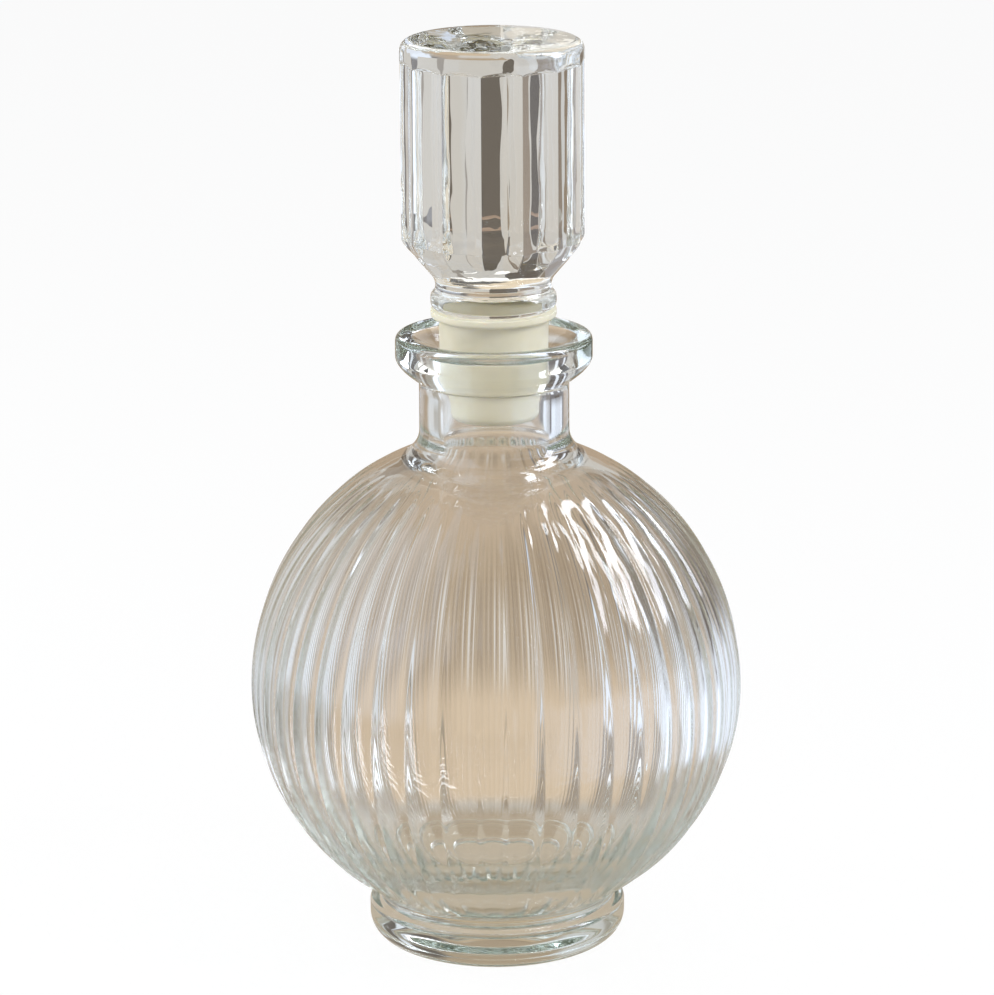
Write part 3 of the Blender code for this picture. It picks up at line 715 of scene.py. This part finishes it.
def painted_light_room():
    """The room that the glass shows: a glowing dome on a table, with patches of painted light and shade."""
    table = np.geomspace(TABLE_MIDDLE, ROOM_RADIUS, ROOM_RINGS)
    dome = np.radians(np.linspace(DOME_LOWEST, DOME_HIGHEST, ROOM_RINGS))
    rings = [ring((radius, TABLE_HEIGHT), ROOM_SEGMENTS) for radius in table]
    rings += [
        ring((ROOM_RADIUS * math.cos(rise), ROOM_RADIUS * math.sin(rise)), ROOM_SEGMENTS) for rise in dome
    ]
    piece = turned_mesh("painted_light_room", rings, 180)
    material, tree = new_material("painted_light_room")
    link = tree.links.new

    def add(kind, operation=None, values=()):
        """A node whose first inputs take the values, each a number, a vector or another node's socket."""
        node = tree.nodes.new(kind)
        if operation:
            node.operation = operation
        for socket, value in zip(node.inputs, values):
            if isinstance(value, bpy.types.NodeSocket):
                link(value, socket)
            else:
                socket.default_value = value
        return node

    def within(angle, middle, half, soft):
        """A socket that is 1 where the angle lies within half of the middle, with a soft edge."""
        away = add("ShaderNodeMath", "SUBTRACT", (angle, math.radians(middle))).outputs["Value"]
        away = add("ShaderNodeMath", "WRAP", (away, math.pi, -math.pi)).outputs["Value"]
        away = add("ShaderNodeMath", "ABSOLUTE", (away,)).outputs["Value"]
        edge = add("ShaderNodeMapRange")
        edge.interpolation_type = "SMOOTHSTEP"
        edge.inputs["From Min"].default_value = math.radians(half + soft / 2)
        edge.inputs["From Max"].default_value = math.radians(half - soft / 2)
        link(away, edge.inputs["Value"])
        return edge.outputs["Result"]

    place = add("ShaderNodeTexCoord").outputs["Object"]
    ray = add("ShaderNodeVectorMath", "SUBTRACT", (place, (0.0, 0.0, GLOBE_CENTRE))).outputs["Vector"]
    ray = add("ShaderNodeVectorMath", "NORMALIZE", (ray,)).outputs["Vector"]
    split = add("ShaderNodeSeparateXYZ", None, (ray,))
    side = add("ShaderNodeMath", "ARCTAN2", (split.outputs["X"], split.outputs["Y"])).outputs["Value"]
    rise = add("ShaderNodeMath", "ARCSINE", (split.outputs["Z"],)).outputs["Value"]
    colour = None
    for where, size, soft, shade in PAINTED_LIGHT_PATCHES:
        masks = [
            within(angle, middle, half, soft) for angle, middle, half in zip((side, rise), where, size)
        ]
        mix = tree.nodes.new("ShaderNodeMix")
        mix.data_type = "RGBA"
        link(add("ShaderNodeMath", "MULTIPLY", masks).outputs["Value"], mix.inputs["Factor"])
        if colour is None:
            mix.inputs[MIX_FIRST].default_value = (*shade, 1.0)
        else:
            link(colour, mix.inputs[MIX_FIRST])
        mix.inputs[MIX_SECOND].default_value = (*shade, 1.0)
        colour = mix.outputs[MIX_RESULT]
    # The room glows with its patches: painted light and shade that only the glass shows
    shine = tree.nodes.new("ShaderNodeEmission")
    output = tree.nodes.new("ShaderNodeOutputMaterial")
    link(colour, shine.inputs["Color"])
    link(shine.outputs["Emission"], output.inputs["Surface"])
    piece.data.materials.append(material)
    shown_by_glass_only(piece)


def painted_light_card(name, low, high, depth, top_shade, foot_shade, wave):
    """An upright card behind the carafe that glows with painted light and shade, blended from foot to top,
    with a left edge that may wave.
    """
    foot = HEAD_TOP + low[1]
    top = HEAD_TOP + high[1]
    mesh = bpy.data.meshes.new(name)
    left_edge = []
    right_edge = []
    for step in range(CARD_STEPS + 1):
        height = foot + (top - foot) * step / CARD_STEPS
        left = low[0] + wave * math.sin(step * FAST_WAVE) * math.cos(step * SLOW_WAVE)
        left_edge.append((left, depth, height))
        right_edge.append((high[0], depth, height))
    across = CARD_STEPS + 1
    faces = [(i, i + across, i + across + 1, i + 1) for i in range(CARD_STEPS)]
    mesh.from_pydata(left_edge + right_edge, [], faces)
    piece = bpy.data.objects.new(name, mesh)
    bpy.context.scene.collection.objects.link(piece)
    material, tree = new_material(name)
    output = tree.nodes.new("ShaderNodeOutputMaterial")
    # The card glows with painted light and shade, blended from its foot colour to its top colour
    shine = tree.nodes.new("ShaderNodeEmission")
    place = tree.nodes.new("ShaderNodeTexCoord")
    split = tree.nodes.new("ShaderNodeSeparateXYZ")
    rise = tree.nodes.new("ShaderNodeMapRange")
    rise.inputs["From Min"].default_value = foot
    rise.inputs["From Max"].default_value = top
    blend = tree.nodes.new("ShaderNodeMix")
    blend.data_type = "RGBA"
    blend.inputs[MIX_FIRST].default_value = (*foot_shade, 1.0)
    blend.inputs[MIX_SECOND].default_value = (*top_shade, 1.0)
    tree.links.new(place.outputs["Object"], split.inputs["Vector"])
    tree.links.new(split.outputs["Z"], rise.inputs["Value"])
    tree.links.new(rise.outputs["Result"], blend.inputs["Factor"])
    tree.links.new(blend.outputs[MIX_RESULT], shine.inputs["Color"])
    tree.links.new(shine.outputs["Emission"], output.inputs["Surface"])
    piece.data.materials.append(material)
    shown_by_glass_only(piece)


def area_light(name, place, aim, size, power):
    """A soft rectangular lamp that glass doesn't show; the room paints its window as light."""
    data = bpy.data.lights.new(name, "AREA")
    data.shape = "RECTANGLE"
    data.size, data.size_y = size
    data.energy = power
    lamp = bpy.data.objects.new(name, data)
    lamp.location = place
    lamp.rotation_euler = (Vector(aim) - Vector(place)).to_track_quat("-Z", "Y").to_euler()
    lamp.visible_glossy = False
    lamp.visible_transmission = False
    bpy.context.scene.collection.objects.link(lamp)


def camera():
    """The photograph's view: a long lens that looks down a little."""
    data = bpy.data.cameras.new("camera")
    data.sensor_width = SENSOR
    data.lens = FOCAL_PIXELS / max(FRAME_WIDTH, FRAME_HEIGHT) * SENSOR
    data.clip_start = 0.01
    data.clip_end = 20.0
    eye = bpy.data.objects.new("camera", data)
    back = Vector((0.0, -math.cos(CAMERA_PITCH), math.sin(CAMERA_PITCH)))
    eye.location = CAMERA_TARGET + back * CAMERA_DISTANCE
    turn = (-back).to_track_quat("-Z", "Y").to_matrix().to_4x4()
    eye.matrix_world = Matrix.Translation(eye.location) @ turn @ Matrix.Rotation(-CAMERA_ROLL, 4, "Z")
    bpy.context.scene.collection.objects.link(eye)
    bpy.context.scene.camera = eye


def render_settings():
    """Plain colours, and enough bounces to pass the many walls of glass in the lip and the foot."""
    scene = bpy.context.scene
    scene.view_settings.view_transform = "Standard"
    scene.cycles.max_bounces = BOUNCES
    scene.cycles.transmission_bounces = BOUNCES
    scene.cycles.glossy_bounces = BOUNCES


body_glass = clear_glass("clear_glass", BODY_TINT, BODY_RIPPLE, BODY_RIPPLE_SCALE)
stopper_glass = clear_glass("stopper_glass", STOPPER_TINT, STOPPER_RIPPLE, STOPPER_RIPPLE_SCALE)
plastic = milky_plastic()
carafe_body(body_glass)
stopper(stopper_glass)
stopper_sleeve(plastic)
pale_floor()
studio_world()
painted_light_room()
for values in PAINTED_LIGHT_CARDS:
    painted_light_card(*values)
for values in LAMPS:
    area_light(*values)
camera()
render_settings()
